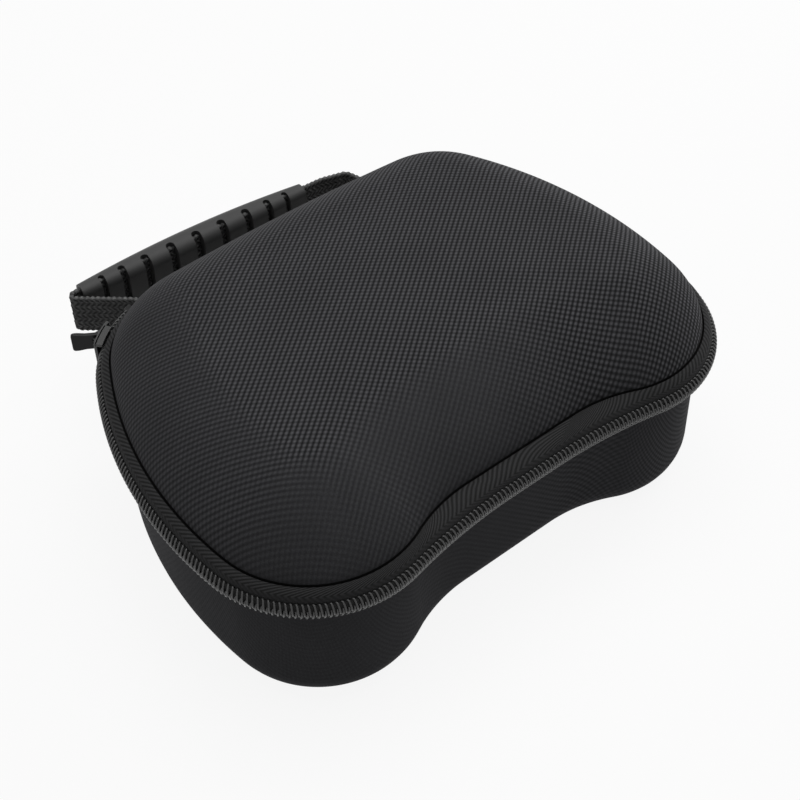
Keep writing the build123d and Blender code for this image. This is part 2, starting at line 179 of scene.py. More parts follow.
# Cloth strips at the hinge, the bindings of the rims, and the net pocket in the lid
STRIP_T = 0.7
STRIP_ROLL = 0.12
HINGE_BEND = 1.5
SPINE = {"inset": 0.3, "half": 46.0, "rise": (-3.4, 3.4), "cut": 10.0}
HINGE_LINING = {"inset": BAND_W + 4.8, "half": 36.0, "rise": (-7.5, 5.0), "cut": 12.5}
BINDING_T = 0.6
BINDING_IN = 4.1
BINDING_RISE = (0.4, 3.4)
BINDING_ROW = 0.45
POCKET_IN = 5.2
POCKET_Z = 52.8
POCKET_MOUTH = 20.0
HEM_W = 7.0
HEM_T = 1.4
POCKET_BAND_Z = (51.6, 54.2)
POCKET_BAND_IN = 4.15
POCKET_BAND_T = 0.95
POCKET_BAND_ROW = 0.5
HEM_COLUMNS = 240
HEM_STEPS = 8
HEM_SEAMS = (2, 6)
HEM_RUFFLE = 0.22
NET_CELL = 1.6
NET_YARN = 0.5
NET_SAG = 2.0
NET_DEEP = 85.0

# Strength of the light from all round, and the lamps: place and size in metres, and power in watts
ROOM_LIGHT = 0.12
KEY_LAMP = ((0.14, 0.1, 1.1), (1.2, 1.0), 9.8)
SIDE_LAMP = ((0.9, 0.25, 0.5), (0.6, 0.6), 2.6)
LAMP_AIM = (0.0, 0.0, 0.04)
WHITE = (1.0, 1.0, 1.0, 1.0)
FLOOR_SIZE = 6000.0
FLOOR_GLOW = 0.9

# Camera that matches the photograph: its bearing, height, roll and distance from a point on the case
CAMERA_AIM = (0.0, -7.0, 48.0)
CAMERA_BEARING = -39.89
CAMERA_RISE = 45.82
CAMERA_ROLL = 0.457
CAMERA_DISTANCE = 441.67
CAMERA_LENS = 67.5
CAMERA_SHIFT = (-0.0157, -0.038)

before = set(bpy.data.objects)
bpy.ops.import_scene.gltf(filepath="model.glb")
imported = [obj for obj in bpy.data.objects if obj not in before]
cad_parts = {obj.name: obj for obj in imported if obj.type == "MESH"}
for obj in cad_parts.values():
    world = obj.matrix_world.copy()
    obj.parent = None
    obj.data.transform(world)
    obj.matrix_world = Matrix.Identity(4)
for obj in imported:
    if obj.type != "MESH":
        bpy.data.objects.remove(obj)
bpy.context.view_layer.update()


# Outline arithmetic
def heading(x, y):
    return math.degrees(math.atan2(y, x))


def spot(centre, radius, angle):
    turn = math.radians(angle)
    return (centre[0] + radius * math.cos(turn), centre[1] + radius * math.sin(turn))


def side_centre(lean):
    to_corner, to_lobe = SIDE_R - CORNER_R, SIDE_R - LOBE_R
    dx, dy = LOBE[0] - CORNER[0], LOBE[1] - lean - CORNER[1]
    apart = math.hypot(dx, dy)
    along = (to_corner**2 - to_lobe**2 + apart**2) / (2 * apart)
    across = math.sqrt(to_corner**2 - along**2)
    return (
        CORNER[0] + (along * dx + across * dy) / apart,
        CORNER[1] + (along * dy - across * dx) / apart,
    )


def back_centre():
    return (0.0, CORNER[1] - math.sqrt((BACK_R - CORNER_R) ** 2 - CORNER[0] ** 2))


def back_y(inset, x=0.0):
    return back_centre()[1] + math.sqrt((BACK_R - inset) ** 2 - x**2)


def outline(inset, waist_y, waist_r, lean=0.0):
    """Arcs of a closed outline, counterclockwise from the waist: centre, radius, start, end."""
    side, back = side_centre(lean), back_centre()
    lobe = (LOBE[0], LOBE[1] - lean)
    reach = waist_r + LOBE_R - inset
    rise = lobe[1] - waist_y + waist_r
    hollow = (lobe[0] - math.sqrt(reach**2 - rise**2), waist_y - waist_r)
    to_lobe = heading(lobe[0] - hollow[0], lobe[1] - hollow[1])
    low = heading(lobe[0] - side[0], lobe[1] - side[1])
    high = heading(CORNER[0] - side[0], CORNER[1] - side[1])
    top = heading(CORNER[0], CORNER[1] - back[1])
    right = [
        (hollow, waist_r, 90.0, to_lobe),
        (lobe, LOBE_R - inset, to_lobe - 180.0, low),
        (side, SIDE_R - inset, low, high),
        (CORNER, CORNER_R - inset, high, top),
    ]
    left = [((-c[0], c[1]), r, 180.0 - end, 180.0 - start) for c, r, start, end in right[::-1]]
    return right + [(back, BACK_R - inset, top, 180.0 - top)] + left


def zip_ring(inset):
    return outline(inset, ZIP_WAIST_Y + inset, ZIP_WAIST_R + inset)


def shell_ring(inset, lean=0.0):
    waist_y = ZIP_WAIST_Y + WAIST_BAND_W + inset
    return outline(BAND_W + inset, waist_y, SHELL_WAIST_R + inset, lean)


def arc_length(arc):
    return arc[1] * math.radians(abs(arc[3] - arc[2]))


RING_COUNTS = [max(6, round(arc_length(arc) / RING_STEP)) for arc in zip_ring(0)]
WAIST_COUNT = 20


def ring_points(arcs):
    """Points round an outline, each with its outward direction in degrees."""
    points = []
    for arc, count in zip(arcs, RING_COUNTS):
        centre, radius, start, end = arc
        hollow = 180.0 if end < start else 0.0
        for k in range(count):
            angle = start + (end - start) * k / count
            points.append((*spot(centre, radius, angle), angle + hollow))
    centre, radius, start, end = arcs[-1]
    left, right = spot(centre, radius, end), points[0]
    for k in range(WAIST_COUNT):
        share = k / WAIST_COUNT
        points.append((left[0] + (right[0] - left[0]) * share, left[1], -90.0))
    return points


RING = ring_points(zip_ring(0))
AROUND = [0.0]
for here, after in zip(RING, RING[1:] + RING[:1]):
    AROUND.append(AROUND[-1] + math.hypot(after[0] - here[0], after[1] - here[1]))


def level(arcs, z):
    return [(x, y, z) for x, y, out in ring_points(arcs)]


def between(first, second, share, z):
    """A ring part way from one outline to another."""
    return [
        (a[0] + (b[0] - a[0]) * share, a[1] + (b[1] - a[1]) * share, z)
        for a, b in zip(ring_points(first), ring_points(second))
    ]


# Meshes
def add_object(name, data):
    obj = bpy.data.objects.new(name, data)
    bpy.context.scene.collection.objects.link(obj)
    return obj


def make_object(name, points, faces, uvs=None, paint=None, materials=(), sharp=35.0):
    """An object from points in millimetres; uvs holds one pair for each corner of each face."""
    mesh = bpy.data.meshes.new(name)
    mesh.from_pydata([(x * MM, y * MM, z * MM) for x, y, z in points], [], faces)
    if uvs:
        layer = mesh.uv_layers.new(name="cloth")
        layer.data.foreach_set("uv", [value for face in uvs for pair in face for value in pair])
    for material in materials:
        mesh.materials.append(material)
    if paint:
        mesh.polygons.foreach_set("material_index", paint)
    mesh.validate()
    mesh.shade_smooth()
    mesh.set_sharp_from_angle(angle=math.radians(sharp))
    return add_object(name, mesh)


def make_rings(name, rows, uv, materials, paint=lambda i: 0, closed=False, sharp=60.0):
    """A mesh through closed rings of points; open ends are capped unless the rows join up."""
    count = len(rows[0])
    points = [point for row in rows for point in row]
    faces, uvs, painted = [], [], []
    spans = len(rows) if closed else len(rows) - 1
    for i in range(spans):
        j = (i + 1) % len(rows)
        for k in range(count):
            n = (k + 1) % count
            faces.append((i * count + k, i * count + n, j * count + n, j * count + k))
            uvs.append([uv(i, k), uv(i, k + 1), uv(i + 1, k + 1), uv(i + 1, k)])
            painted.append(paint(i))
    if not closed:
        last = len(rows) - 1
        faces.append(tuple(range(count - 1, -1, -1)))
        uvs.append([uv(0, k) for k in range(count - 1, -1, -1)])
        painted.append(paint(0))
        faces.append(tuple(last * count + k for k in range(count)))
        uvs.append([uv(last, k) for k in range(count)])
        painted.append(paint(last - 1))
    return make_object(name, points, faces, uvs, painted, materials, sharp)


def tube_faces(rows, sides, first=0):
    """Faces round a tube of rings that have a number of points each."""
    faces = []
    for i in range(rows - 1):
        here = first + i * sides
        after = here + sides
        for k in range(sides):
            n = (k + 1) % sides
            faces.append((here + k, here + n, after + n, after + k))
    return faces


def tube_ends(rows, sides):
    """Faces that close the two ends of a tube."""
    last = (rows - 1) * sides
    return [tuple(range(sides - 1, -1, -1)), tuple(range(last, last + sides))]


def belong(obj, body, node):
    """A piece moves with a body and stands for one of its solids."""
    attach(obj, body)
    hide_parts(node)


def round_edges(obj, width, segments):
    bevel = obj.modifiers.new("rounding", "BEVEL")
    bevel.width = width * MM
    bevel.segments = segments
    bevel.limit_method = "ANGLE"
    bevel.angle_limit = math.radians(40)


# Materials
class Nodes:
    """A short way to write a material's node tree."""

    def __init__(self, name):
        self.material = bpy.data.materials.new(name)
        self.material.use_nodes = True
        self.tree = self.material.node_tree
        self.shader = self.tree.nodes["Principled BSDF"]

    def add(self, kind, **settings):
        node = self.tree.nodes.new(kind)
        for key, value in settings.items():
            setattr(node, key, value)
        return node

    def link(self, source, target):
        self.tree.links.new(source, target)

    def put(self, value, socket):
        if isinstance(value, bpy.types.NodeSocket):
            self.link(value, socket)
        else:
            socket.default_value = value

    def math(self, operation, first, second=0.0, third=0.0):
        node = self.add("ShaderNodeMath", operation=operation)
        for value, socket in zip((first, second, third), node.inputs):
            self.put(value, socket)
        return node.outputs[0]

    def range(self, value, low, high, to_low, to_high):
        node = self.add("ShaderNodeMapRange")
        for item, socket in zip((value, low, high, to_low, to_high), node.inputs):
            self.put(item, socket)
        return node.outputs[0]

    def mix(self, share, first, second):
        node = self.add("ShaderNodeMix", data_type="RGBA")
        self.put(share, node.inputs[0])
        self.put(first, node.inputs[6])
        self.put(second, node.inputs[7])
        return node.outputs[2]

    def noise(self, coordinates, scale, detail=2.0):
        node = self.add("ShaderNodeTexNoise")
        self.link(coordinates, node.inputs["Vector"])
        node.inputs["Scale"].default_value = scale
        node.inputs["Detail"].default_value = detail
        return node.outputs["Fac"]

    def place(self):
        return self.add("ShaderNodeTexCoord").outputs["Object"]

    def speckle(self, scale, detail, low, high):
        """A value that wanders between two others over the surface."""
        return self.range(self.noise(self.place(), scale, detail), 0.3, 0.7, low, high)

    def split(self, vector):
        node = self.add("ShaderNodeSeparateXYZ")
        self.link(vector, node.inputs[0])
        return node.outputs[0], node.outputs[1]

    def cloth(self):
        """The two cloth coordinates of the mesh, in the units that its maker chose."""
        return self.split(self.add("ShaderNodeUVMap", uv_map="cloth").outputs[0])

    def wave(self, line, pitch):
        """From -1 to 1 and back along a line, once for each pitch."""
        return self.math("SINE", self.math("MULTIPLY", line, 2 * math.pi / pitch))

    def bump(self, height, depth_mm, strength=1.0):
        node = self.add("ShaderNodeBump")
        node.inputs["Strength"].default_value = strength
        node.inputs["Distance"].default_value = depth_mm * MM
        self.link(height, node.inputs["Height"])
        return node.outputs[0]

    def finish(self, colour, roughness, normal=None, specular=0.5, sheen=0.0):
        self.put(colour, self.shader.inputs["Base Color"])
        self.put(roughness, self.shader.inputs["Roughness"])
        self.shader.inputs["Specular IOR Level"].default_value = specular
        self.shader.inputs["Sheen Weight"].default_value = sheen
        self.shader.inputs["Sheen Roughness"].default_value = 0.5
        if normal is not None:
            self.link(normal, self.shader.inputs["Normal"])
        return self.material


def grey(level_value, blue=1.0):
    return (level_value, level_value, level_value * blue, 1.0)


def weave_material(name, tone, contrast):
    """Plain weave seen as columns of beads, painted light on the beads and painted shade in the gaps;
    on slopes the columns fade and the rows show more, as painted light and sheen.
    """
    m = Nodes(name)
    u, v = m.cloth()
    drift = m.math("MULTIPLY_ADD", m.noise(m.place(), 130.0), 0.2, -0.1)
    along = m.math("ADD", m.math("ADD", u, v), drift)
    across = m.math("SUBTRACT", m.math("SUBTRACT", u, v), drift)
    bead = m.math("COSINE", m.math("MULTIPLY", along, math.pi))
    column = m.math("COSINE", m.math("MULTIPLY", across, math.pi))
    # Painted light and sheen: the surface's facing, and on the near left its place, fade or
    # strengthen the columns and rows.
    side_x, side_y = m.split(m.add("ShaderNodeTexCoord").outputs["Normal"])
    left_half = m.range(m.split(m.place())[0], -0.005, 0.03, 1.0, 0.0)
    left = m.range(side_x, -0.1, -0.45, 0.0, 1.0)
    front = m.range(side_y, -0.1, -0.5, 0.0, 1.0)
    near = m.math("MULTIPLY", front, left_half)
    front_right = m.math("MULTIPLY", m.math("SUBTRACT", front, near), FRONT_RIGHT_PAINTED_LIGHT)
    right = m.math("MAXIMUM", m.range(side_x, 0.15, 0.6, 0.0, 1.0), front_right)
    slopes = ((left, LEFT_SLOPE_PAINTED_LIGHT), (right, RIGHT_SLOPE_PAINTED_LIGHT), (near, NEAR_SLOPE_PAINTED_LIGHT))
    depth, rows = COLUMNS, ROWS
    for slope, (fade, gain) in slopes:
        depth = m.math("MULTIPLY_ADD", slope, -fade, depth)
        rows = m.math("MULTIPLY_ADD", slope, gain, rows)
    depth = m.math("MULTIPLY", m.math("MAXIMUM", depth, 0.1), contrast)
    rows = m.math("MULTIPLY", rows, contrast)
    columns = m.math("MULTIPLY_ADD", column, depth, 1.0)
    wave = m.math("MULTIPLY", columns, m.math("MULTIPLY_ADD", bead, rows, 1.0))
    grain = m.math("MULTIPLY", m.speckle(2600.0, 3.0, 0.82, 1.18), m.speckle(60.0, 2.0, 0.94, 1.06))
    # Painted highlight and shade: colour from near black in the gaps to light on the beads, over the
    # weave's own pattern.
    share = m.math("MULTIPLY", m.math("MULTIPLY", wave, grain), 0.25)
    colour = m.mix(share, grey(tone * 0.04), grey(tone * 4.0, 1.07))
    roughness = m.range(wave, 0.0, 3.0, 0.85, 0.6)
    return m.finish(colour, roughness, m.bump(wave, 0.05, 0.7), specular=0.05, sheen=0.01)


def plain_material(name, level_value, roughness, grain=900.0, depth=0.03, specular=0.5):
    """A plain moulded, coated or brushed surface with a fine grain."""
    m = Nodes(name)
    grain_height = m.noise(m.place(), grain, 3.0)
    blotch = m.noise(m.place(), 45.0)
    colour = m.mix(blotch, grey(level_value * 0.85), grey(level_value * 1.15))
    rough = m.range(blotch, 0.3, 0.7, roughness * 0.92, roughness * 1.08)
    return m.finish(colour, rough, m.bump(grain_height, depth), specular=specular)


def tape_material():
    """Zip tape: a herringbone whose slanting threads turn once, along a slight ridge."""
    m = Nodes("zip_tape_cloth")
    u, v = m.cloth()
    away = m.math("ABSOLUTE", m.math("SUBTRACT", v, TAPE_RIDGE))
    line = m.math("MULTIPLY_ADD", u, -TAPE_SLANT, away)
    worn = m.range(v, TAPE_RIDGE - 0.6, TAPE_RIDGE, 0.35, 1.0)
    height = m.range(m.math("MULTIPLY", m.wave(line, TAPE_THREAD), worn), -1.0, 1.0, 0.0, 1.0)
    tone = m.math("MULTIPLY", height, m.speckle(2200.0, 3.0, 0.8, 1.1))
    colour = m.mix(tone, grey(0.014), grey(0.044, 1.03))
    ridge = m.math("ADD", height, m.range(away, 0.0, 1.1, 0.6, 0.0))
    return m.finish(colour, 0.75, m.bump(ridge, 0.09, 0.8), specular=0.06, sheen=0.01)


def webbing_material():
    """Coarse webbing: plied yarns that slant one way in a rib and the other way in the next."""
    m = Nodes("handle_webbing_cloth")
    u, v = m.cloth()
    inside = m.math("PINGPONG", v, WEB_RIB)
    line = m.math("MULTIPLY_ADD", inside, 0.9, u)
    rib = m.math("COSINE", m.math("MULTIPLY", v, 2 * math.pi / WEB_RIB))
    height = m.range(m.math("MULTIPLY_ADD", rib, 0.5, m.wave(line, WEB_STITCH)), -1.5, 1.5, 0.0, 1.0)
    speck = m.math("MULTIPLY", m.speckle(1500.0, 4.0, 0.6, 1.3), m.speckle(420.0, 2.0, 0.7, 1.2))
    tone = m.math("MULTIPLY", height, speck)
    colour = m.mix(tone, grey(0.02), grey(0.15))
    return m.finish(colour, 0.85, m.bump(tone, 0.25, 0.9), specular=0.08, sheen=0.02)


def ribbed_material(name, dark, light, pitch, slant, depth=0.08):
    """Knitted or corded cloth with fine ribs across its length."""
    m = Nodes(name)
    u, v = m.cloth()
    line = m.math("MULTIPLY_ADD", v, slant, u)
    height = m.range(m.wave(line, pitch), -1.0, 1.0, 0.0, 1.0)
    tone = m.math("MULTIPLY", height, m.speckle(2000.0, 3.0, 0.7, 1.2))
    colour = m.mix(tone, grey(dark), grey(light))
    return m.finish(colour, 0.85, m.bump(tone, depth, 0.8), specular=0.08, sheen=0.02)


LID_WEAVE = weave_material("lid_weave", LID_TONE, 1.0)
BASE_WEAVE = weave_material("base_weave", BASE_TONE, 0.45)
LINING = plain_material("brushed_lining", 0.036, 0.85, 1400.0, 0.05, 0.1)
# Painted shade: a near-black material for the flanges at the foot of the lid and base, standing in
# for the shadow in the groove.
GROOVE_SHADE = plain_material("painted_groove_shade", 0.004, 0.95, 1400.0, 0.03, 0.1)
CORE = plain_material("coil_core_thread", 0.012, 0.9, 1500.0, 0.03, 0.2)
TAPE = tape_material()
COIL = plain_material("coil_nylon", 0.034, 0.3, 700.0, 0.006, 0.5)
METAL = plain_material("coated_metal", 0.006, 0.3, 1200.0, 0.005, 0.16)
SLIDER = plain_material("coated_slider", 0.014, 0.25, 1200.0, 0.005, 0.5)
GRIP = plain_material("grip_plastic", 0.052, 0.5, 1600.0, 0.012, 0.2)
WEBBING = webbing_material()
SPINE_CLOTH = ribbed_material("spine_cloth", 0.008, 0.036, 0.8, 0.6)
BINDING = ribbed_material("binding_cloth", 0.008, 0.034, 2.0, 0.7, 0.15)
ELASTIC = ribbed_material("elastic_cloth", 0.01, 0.05, 1.1, 0.0, 0.15)
NET = ribbed_material("net_yarn", 0.03, 0.08, 0.7, 0.5, 0.05)


# Shells
def dome_profile(steps, rise=DOME_H):
    power = 2.0 / DOME_POWER
    points = []
    for step in range(steps + 1):
        turn = math.pi / 2 * step / steps
        across, up = max(math.cos(turn), 0.0) ** power, math.sin(turn) ** power
        points.append((DOME_IN * (1 - across), GROOVE_H + rise * up))
    return points


def wall_inward(points):
    moved = [(points[0][0] + WALL_T, points[0][1])]
    for before, here, after in zip(points, points[1:], points[2:]):
        run, climb = after[0] - before[0], after[1] - before[1]
        length = math.hypot(run, climb)
        moved.append((here[0] + WALL_T * climb / length, here[1] - WALL_T * run / length))
    moved.append((points[-1][0], points[-1][1] - WALL_T))
    return moved


def crown_rings(ring, z, shares):
    """Rings that shrink towards the middle of the lid and rise a little."""
    rows = []
    for share in shares:
        height = z + CROWN_H * (1 - share**2)
        rows.append([(x * share, CROWN_Y + (y - CROWN_Y) * share, height) for x, y, old in ring])
    return rows


def cloth_map(rows, start, drape, top_inset):
    """Cloth coordinates of the rings from start on, counted in yarns from the middle of the cloth."""
    ring = ring_points(shell_ring(top_inset))
    flat = [None] * len(rows)
    length = 0.0
    for i in range(start, len(rows)):
        if i > start:
            length += math.dist(rows[i - 1][0], rows[i][0])
        pairs = []
        for (x, y, z), (rx, ry, out) in zip(rows[i], ring):
            across = math.hypot(x - rx, y - ry)
            extra = drape * max(length - across, 0.0)
            way = math.radians(out)
            pair = ((x + extra * math.cos(way)) / YARN_X, (y + extra * math.sin(way)) / YARN_Y)
            pairs.append(pair)
        flat[i] = pairs
    return flat


def lid_cover():
    """The lid: woven cloth over a moulded foam wall, brushed lining inside, in one piece."""
    outer = dome_profile(DOME_STEPS)
    inner = wall_inward(dome_profile(DOME_STEPS // 2))
    top_ring = level(shell_ring(outer[-1][0]), ZIP_Z + outer[-1][1])
    rows = crown_rings(top_ring, ZIP_Z + outer[-1][1], CROWN_SHARES)
    start = len(rows)
    rows += [level(shell_ring(inset), ZIP_Z + height) for inset, height in outer[::-1]]
    seam_row = len(rows) - 1
    flange_top = ZIP_Z + LID_BAND_H - TAPE_T - TAPE_GAP
    slope, drop, depth = LID_FLANGE
    rows += [
        level(shell_ring(0), flange_top),
        level(zip_ring(FLANGE_EDGE + slope), flange_top - TAPE_GAP),
        level(zip_ring(FLANGE_EDGE), flange_top - drop),
        level(zip_ring(FLANGE_EDGE), flange_top - depth),
        level(shell_ring(0), flange_top - depth),
        level(shell_ring(0), ZIP_Z + RIM_GAP),
    ]
    skin_rows = len(rows)
    rows.append(level(shell_ring(WALL_T), ZIP_Z + RIM_GAP))
    rows += [level(shell_ring(inset), ZIP_Z + height) for inset, height in inner]
    low_ring = rows[-1]
    rows += crown_rings(low_ring, low_ring[0][2], UNDER_SHARES)
    flat = cloth_map(rows, start, LID_DRAPE, outer[-1][0])

    def uv(i, k):
        i, k = min(i, len(rows) - 1), k % len(RING)
        if flat[i]:
            return flat[i][k]
        return (rows[i][k][0] / YARN_X, rows[i][k][1] / YARN_Y)

    def paint(i):
        # Index 2 puts the painted groove shade on the flange rows.
        return 0 if i < seam_row else (2 if i < skin_rows else 1)

    obj = make_rings("lid_cover", rows, uv, (LID_WEAVE, LINING, GROOVE_SHADE), paint, sharp=35.0)
    belong(obj, "lid", "lid_shell")


def hull_rows(inset, rim, steps):
    """Rings of the base from its flat bottom to the rim: rounded, leaning, then straight."""
    straight, radius = ZIP_Z - STRAIGHT_H, BASE_ROUND - inset
    rows = []
    for step in range(steps, -1, -1):
        turn = math.pi / 2 * step / steps
        side, z = radius * (1 - math.cos(turn)), inset + radius * (1 - math.sin(turn))
        rows.append((inset + side, z))
    for step in range(1, BASE_STEPS + 1):
        rows.append((inset, BASE_ROUND + (straight - BASE_ROUND) * step / BASE_STEPS))
    rows.append((inset, rim))
    lean = [LOBE_LEAN * max(straight - z, 0.0) / straight for side, z in rows]
    return [level(shell_ring(side, shift), z) for (side, z), shift in zip(rows, lean)]


def base_cover():
    flange_top = ZIP_Z - BASE_BAND_H + TAPE_T + TAPE_GAP + TAPE_T
    slope, drop, depth = BASE_FLANGE
    rim = ZIP_Z - RIM_GAP
    rows = hull_rows(0.0, flange_top - depth, ROUND_STEPS[0])
    seam_row = len(rows) - 1
    rows += [
        level(zip_ring(FLANGE_EDGE + slope), flange_top - depth),
        level(zip_ring(FLANGE_EDGE), flange_top - drop),
        level(zip_ring(FLANGE_EDGE), flange_top),
        level(shell_ring(0), flange_top),
        level(shell_ring(0), rim),
    ]
    skin_rows = len(rows)
    rows += hull_rows(WALL_T, rim, ROUND_STEPS[1])[::-1]
    flat = cloth_map(rows, 0, BASE_DRAPE, BASE_ROUND)

    def uv(i, k):
        return flat[min(i, len(rows) - 1)][k % len(RING)]

    def paint(i):
        # Index 2 puts the painted groove shade on the flange rows.
        return 0 if i < seam_row else (2 if i < skin_rows else 1)

    obj = make_rings("base_cover", rows, uv, (BASE_WEAVE, LINING, GROOVE_SHADE), paint, sharp=35.0)
    belong(obj, "base", "base_shell")


# Zip tapes
def tape_profile(height, corner):
    """Share of the way from the zip to the shell, and height above or below the zip's middle."""
    points = [(0.0, RIM_GAP), (0.0, (height - corner) * 0.5)]
    for step in range(11):
        turn = math.pi / 2 * step / 10
        points.append((1 - math.cos(turn), height - corner + corner * math.sin(turn)))
    points.append((1.0, height - TUCK))
    return points


def zip_tape(name, node, body, height, corner, sign, groove):
    outer = tape_profile(height, corner)
    inner = tape_profile(height - TAPE_T, max(corner - TAPE_T, 0.5))[:-1]
    zip_line, zip_under = zip_ring(TAPE_IN), zip_ring(TAPE_IN + TAPE_T)
    wall_line = shell_ring(-groove)
    rows = [between(zip_line, wall_line, share, ZIP_Z + sign * up) for share, up in outer]
    rows += [between(zip_under, wall_line, share, ZIP_Z + sign * up) for share, up in inner[::-1]]
    if sign < 0:
        rows = rows[::-1]
    across = [[0.0] * len(RING)]
    for before, after in zip(rows, rows[1:] + rows[:1]):
        across.append([value + math.dist(a, b) for value, a, b in zip(across[-1], before, after)])

    def uv(i, k):
        return (AROUND[k], across[i][k % len(RING)])

    obj = make_rings(name, rows, uv, (TAPE,), closed=True)
    belong(obj, body, node)


# Zip coils
def chain_runs():
    """The zip line from its closed end at the left back corner round to the right back corner."""
    arcs = zip_ring(0)
    middle = len(arcs) // 2
    left, right = arcs[middle + 1 :], arcs[:middle]
    left[0] = (left[0][0], left[0][1], CHAIN_END, left[0][3])
    right[-1] = (right[-1][0], right[-1][1], right[-1][2], 180.0 - CHAIN_END)
    start = spot(left[-1][0], left[-1][1], left[-1][3])
    end = spot(right[0][0], right[0][1], right[0][2])
    runs = [(arc_length(arc), arc) for arc in left]
    runs.append((end[0] - start[0], start))
    return runs + [(arc_length(arc), arc) for arc in right]


def chain_frame(runs, along):
    """Place on the zip line and its outward direction in degrees, at a length along it."""
    for length, arc in runs:
        if along <= length or arc is runs[-1][1]:
            break
        along -= length
    if len(arc) == 2:
        return arc[0] + along, arc[1], -90.0
    centre, radius, start, end = arc
    angle = start + math.copysign(math.degrees(along / radius), end - start)
    return (*spot(centre, radius, angle), angle + (180.0 if end < start else 0.0))


def spread(x, y):
    """How far the coil stands off the middle where the slider parts the chain."""
    if x > -CORNER[0] or y < CORNER[1]:
        return 0.0
    angle = heading(x + CORNER[0], y - CORNER[1])
    return SPREAD_H * min(max((SPREAD_AT + SPREAD_TURN - angle) / SPREAD_TURN, 0.0), 1.0)


def coil_lean(up):
    """How far the coil leans back towards the tape at a height above the zip's middle."""
    return -COIL_BOW * (max(up, 0.0) / TOOTH_REACH) ** 1.4


def filament_path(runs, total, sign, offset):
    """Middle line of the wound filament: place, outward direction and nearness to a head."""
    turns = int((total - offset) / TOOTH_PITCH)
    low, high = -HEAD_REACH + FILAMENT_R, TOOTH_REACH - FILAMENT_R
    middle, half_h = (low + high) / 2, (high - low) / 2
    path = []
    for n in range(turns * COIL_STEPS + 1):
        phase = n / COIL_STEPS
        turn = 2 * math.pi * phase
        cos_turn, sin_turn = math.cos(turn), math.sin(turn)
        up = middle + half_h * cos_turn
        half_d = (TOOTH_D / 2 - FILAMENT_R) * (1 - 0.2 * max(cos_turn, 0.0))
        out = half_d * math.copysign(abs(sin_turn) ** 0.6, sin_turn) + coil_lean(up)
        along = offset + TOOTH_PITCH * (phase - 0.5 + 0.1 * sin_turn)
        x, y, way = chain_frame(runs, min(max(along, 0.0), total))
        normal = Vector((math.cos(math.radians(way)), math.sin(math.radians(way)), 0.0))
        place = Vector((x, y, ZIP_Z + sign * (up + spread(x, y))))
        path.append((place + normal * out, normal, max(-cos_turn, 0.0) ** 4))
    return path


def coil(name, node, body, sign, offset):
    """A nylon filament wound round a core of thread, whose heads lock with the other coil's."""
    runs = chain_runs()
    total = sum(length for length, arc in runs)
    path = filament_path(runs, total, sign, offset)
    points = []
    for n, (place, normal, head) in enumerate(path):
        before, after = path[max(n - 1, 0)][0], path[min(n + 1, len(path) - 1)][0]
        forward = (after - before).normalized()
        side = forward.cross(normal)
        if side.length < 0.2:
            side = forward.cross(Vector((0, 0, 1)))
        side.normalize()
        lift = side.cross(forward).normalized()
        wide, thick = FILAMENT_R * (1 + 0.06 * head), FILAMENT_R * (1 + 0.2 * head)
        for k in range(COIL_SIDES):
            turn = 2 * math.pi * k / COIL_SIDES
            points.append(place + side * (wide * math.cos(turn)) + lift * (thick * math.sin(turn)))
    faces = tube_faces(len(path), COIL_SIDES) + tube_ends(len(path), COIL_SIDES)
    wound = len(faces)
    first, count = len(points), int(total / CORE_STEP)
    for n in range(count + 1):
        x, y, way = chain_frame(runs, total * n / count)
        for out, up in CORE_CORNERS:
            place = spot((x, y), out + coil_lean(up), way)
            points.append(Vector((*place, ZIP_Z + sign * (up + spread(x, y)))))
    faces += tube_faces(count + 1, len(CORE_CORNERS), first)
    paint = [0] * wound + [1] * (len(faces) - wound)
    obj = make_object(name, [tuple(p) for p in points], faces, None, paint, (COIL, CORE), 80.0)
    belong(obj, body, node)


# Handle webbing
def web_route():
    """Corners of the webbing's middle line from the left rivet through the grip to the right one."""
    root = back_y(BAND_W) + WEB_LIFT + WEB_T / 2
    left, right = GRIP_AT[0] - GRIP_HALF, GRIP_AT[0] + GRIP_HALF
    right_side = [(right + x, y) for x, y in (WEB_RIGHT_SHOULDER, WEB_RIGHT_SIDE, WEB_RIGHT_LOW)]
    return [
        (-WEB_END, root),
        (left + WEB_LEFT_FOOT, root),
        (left + WEB_LEFT_SIDE[0], WEB_LEFT_SIDE[1]),
        spot(GRIP_AT, -GRIP_HALF - WEB_LEADS[0], GRIP_TURN),
        spot(GRIP_AT, GRIP_HALF + WEB_LEADS[1], GRIP_TURN),
        *right_side,
        (right + WEB_RIGHT_FOOT, root),
        (WEB_END, root),
    ]


def rounded_route(corners, radii, step):
    """Points along straight runs joined by tangent arcs, each with its direction."""
    found = []
    here = Vector(corners[0])
    for before, corner, after, radius in zip(corners, corners[1:], corners[2:], radii):
        into = (Vector(corner) - Vector(before)).normalized()
        out = (Vector(after) - Vector(corner)).normalized()
        turn = into.angle_signed(out) * -1.0
        start = Vector(corner) - into * (radius * math.tan(abs(turn) / 2))
        count = max(1, round((start - here).length / step))
        found += [(here.lerp(start, k / count), into) for k in range(count)]
        count = max(3, round(radius * abs(turn) / step))
        side = Vector((-into.y, into.x)) * math.copysign(radius, turn)
        for k in range(count):
            bend = Matrix.Rotation(turn * k / count, 2)
            found.append((start + side - bend @ side, bend @ into))
        here = Vector(corner) + out * (radius * math.tan(abs(turn) / 2))
    last = Vector(corners[-1])
    count = max(1, round((last - here).length / step))
    found += [(here.lerp(last, k / count), out) for k in range(count + 1)]
    return found


